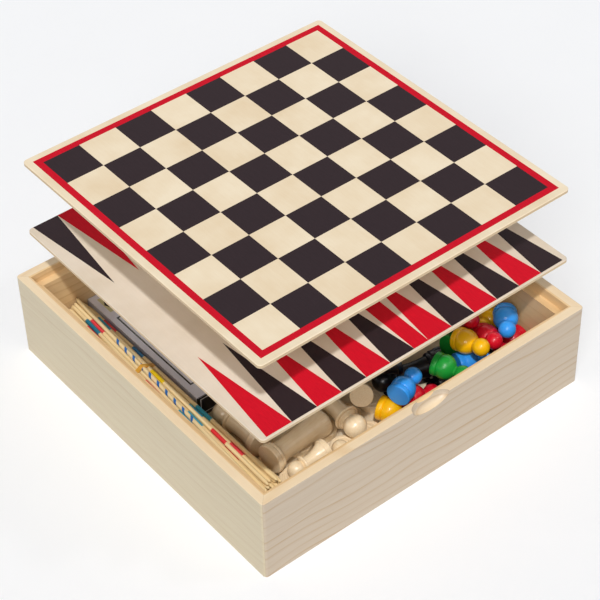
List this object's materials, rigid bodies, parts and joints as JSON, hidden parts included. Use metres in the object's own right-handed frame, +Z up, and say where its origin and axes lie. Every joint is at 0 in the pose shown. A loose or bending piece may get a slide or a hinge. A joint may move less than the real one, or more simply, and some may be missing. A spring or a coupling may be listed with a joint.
{
  "type": "games compendium box",
  "caption": "Square wooden case of mitred boards whose rebate carries a chess board and a backgammon board, over loose men, pawns, pick-up sticks and a carton of dominoes",
  "frame": {"origin": "centre of the case's underside", "axes": "+Z up, the boards lift along it; -Y out of the front wall with the thumb scoop; +X to the right of that wall, away from the pick-up sticks"},
  "size_m": [0.29, 0.29, 0.179],
  "materials": {
    "case_wood": "clear satin lacquer on birch",
    "panel_wood": "sealed plywood",
    "chess_print": "light plywood board printed with dark squares, satin",
    "backgammon_print": "light plywood board printed with points, satin",
    "natural_men": "clear gloss lacquer",
    "black_men": "black gloss lacquer",
    "red_paint": "gloss paint",
    "blue_paint": "gloss paint",
    "yellow_paint": "gloss paint",
    "green_paint": "gloss paint",
    "dice_wood": "satin, dark pips",
    "stick_wood": "smooth, with dyed bands",
    "band_rubber": "matte natural rubber",
    "carton_card": "glossy printed folding board",
    "tile_wood": "painted black with light pips"
  },
  "bodies": {
    "case": {"front_wall": "case_wood", "back_wall": "case_wood", "left_wall": "case_wood", "right_wall": "case_wood", "base_panel": "panel_wood", "natural_king": "natural_men", "natural_queen": "natural_men", "natural_bishops": "natural_men", "natural_knights": "natural_men", "natural_rooks": "natural_men", "natural_pawns": "natural_men", "black_king": "black_men", "black_queen": "black_men", "black_bishops": "black_men", "black_knights": "black_men", "black_rooks": "black_men", "black_pawns": "black_men", "red_pawns": "red_paint", "blue_pawns": "blue_paint", "yellow_pawns": "yellow_paint", "green_pawns": "green_paint", "light_draughts": "natural_men", "dark_draughts": "black_men", "dice": "dice_wood"},
    "lower_board": {"backgammon_board": "backgammon_print"},
    "upper_board": {"chess_board": "chess_print"},
    "stick_bundle": {"mikado_stick": "stick_wood", "mandarin_sticks": "stick_wood", "bonze_sticks": "stick_wood", "samurai_sticks": "stick_wood", "worker_sticks": "stick_wood", "rubber_band": "band_rubber"},
    "domino_box": {"domino_carton": "carton_card", "domino_tiles": "tile_wood"}
  },
  "joints": [
    {"name": "lower_board_lift", "type": "slide", "parent": "case", "child": "lower_board", "axis": [0, 0, 1], "range_m": [-0.05, 0.04]},
    {"name": "upper_board_lift", "type": "slide", "parent": "lower_board", "child": "upper_board", "axis": [0, 0, 1], "range_m": [-0.059, 0.04]},
    {"name": "stick_bundle_lift", "type": "slide", "parent": "case", "child": "stick_bundle", "axis": [0, 0, 1], "range_m": [0, 0.024]},
    {"name": "domino_box_lift", "type": "slide", "parent": "case", "child": "domino_box", "axis": [0, 0, 1], "range_m": [0, 0.03]}
  ]
}
